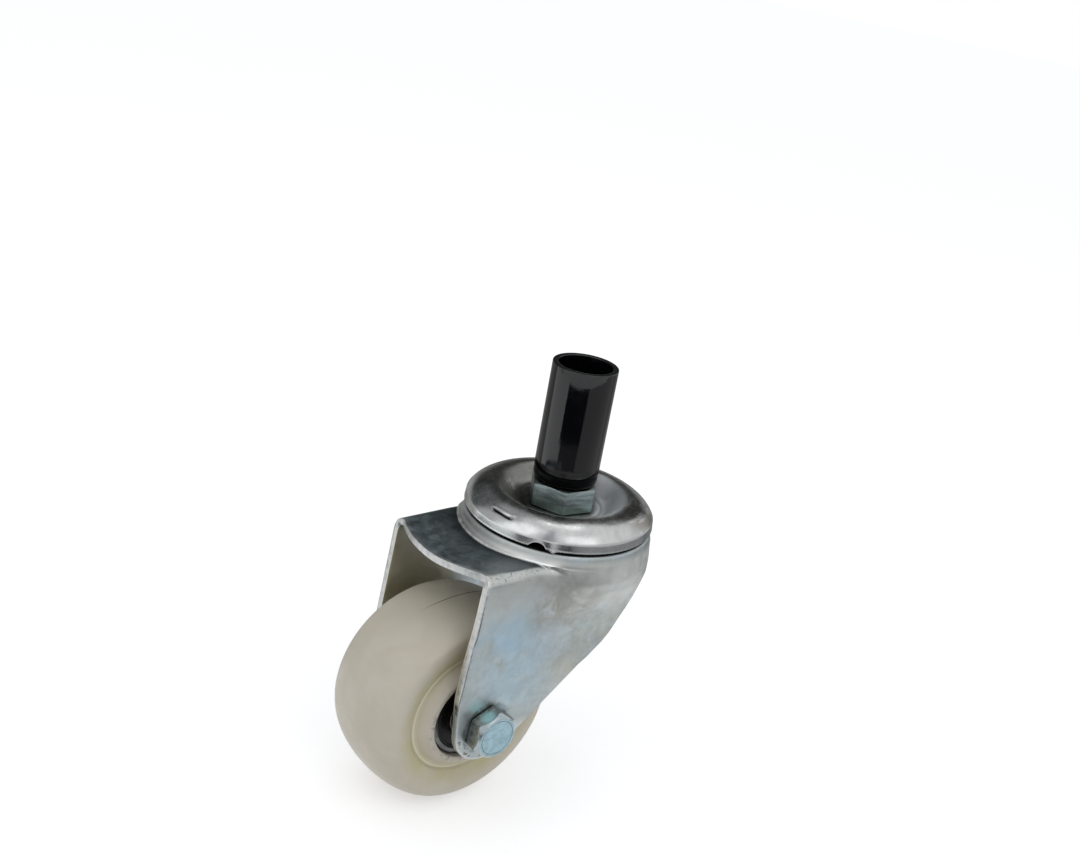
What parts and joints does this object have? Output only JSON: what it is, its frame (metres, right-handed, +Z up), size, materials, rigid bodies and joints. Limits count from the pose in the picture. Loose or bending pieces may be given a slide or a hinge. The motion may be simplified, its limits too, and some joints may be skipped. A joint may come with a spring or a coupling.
{
  "type": "swivel castor",
  "caption": "Zinc-plated swivel castor with a solid nylon wheel on ball bearings, screwed into a short painted leg tube.",
  "frame": {"origin": "centre of the leg tube's top end, on the swivel axis", "axes": "+Z up along the swivel axis; the wheel trails towards -X; the axle bolt's head is on the -Y side"},
  "size_m": [0.0924, 0.061, 0.1293],
  "materials": {
    "black_paint": "gloss black paint",
    "black_bush": "black, slightly dull",
    "stem_zinc": "zinc plated",
    "nut_zinc": "zinc plated, greenish",
    "cap_zinc": "bright zinc plated, pressed",
    "fork_zinc": "zinc plated sheet, bluish with dull stains",
    "bolt_zinc": "zinc plated, bluish",
    "sleeve_steel": "plain steel",
    "bearing_steel": "ground steel",
    "seal_rubber": "matt black rubber",
    "wheel_nylon": "satin ivory nylon"
  },
  "bodies": {
    "leg": {"leg_tube": "black_paint", "leg_bush": "black_bush", "stem": "stem_zinc", "stem_nut": "nut_zinc", "race_cap": "cap_zinc", "lower_cup": "cap_zinc"},
    "fork": {"fork": "fork_zinc", "axle_bolt": "bolt_zinc", "axle_nut": "bolt_zinc", "axle_sleeve": "sleeve_steel", "spacer_near": "sleeve_steel", "spacer_far": "sleeve_steel"},
    "wheel": {"wheel": "wheel_nylon", "bearing_near": "bearing_steel", "bearing_far": "bearing_steel", "seal_near": "seal_rubber", "seal_far": "seal_rubber"}
  },
  "joints": [
    {"name": "swivel", "type": "hinge", "parent": "leg", "child": "fork", "pos_m": [0, 0, -0.0457], "axis": [0, 0, 1], "continuous": true},
    {"name": "wheel_roll", "type": "hinge", "parent": "fork", "child": "wheel", "pos_m": [-0.0328, 0, -0.0983], "axis": [0, 1, 0], "continuous": true}
  ]
}
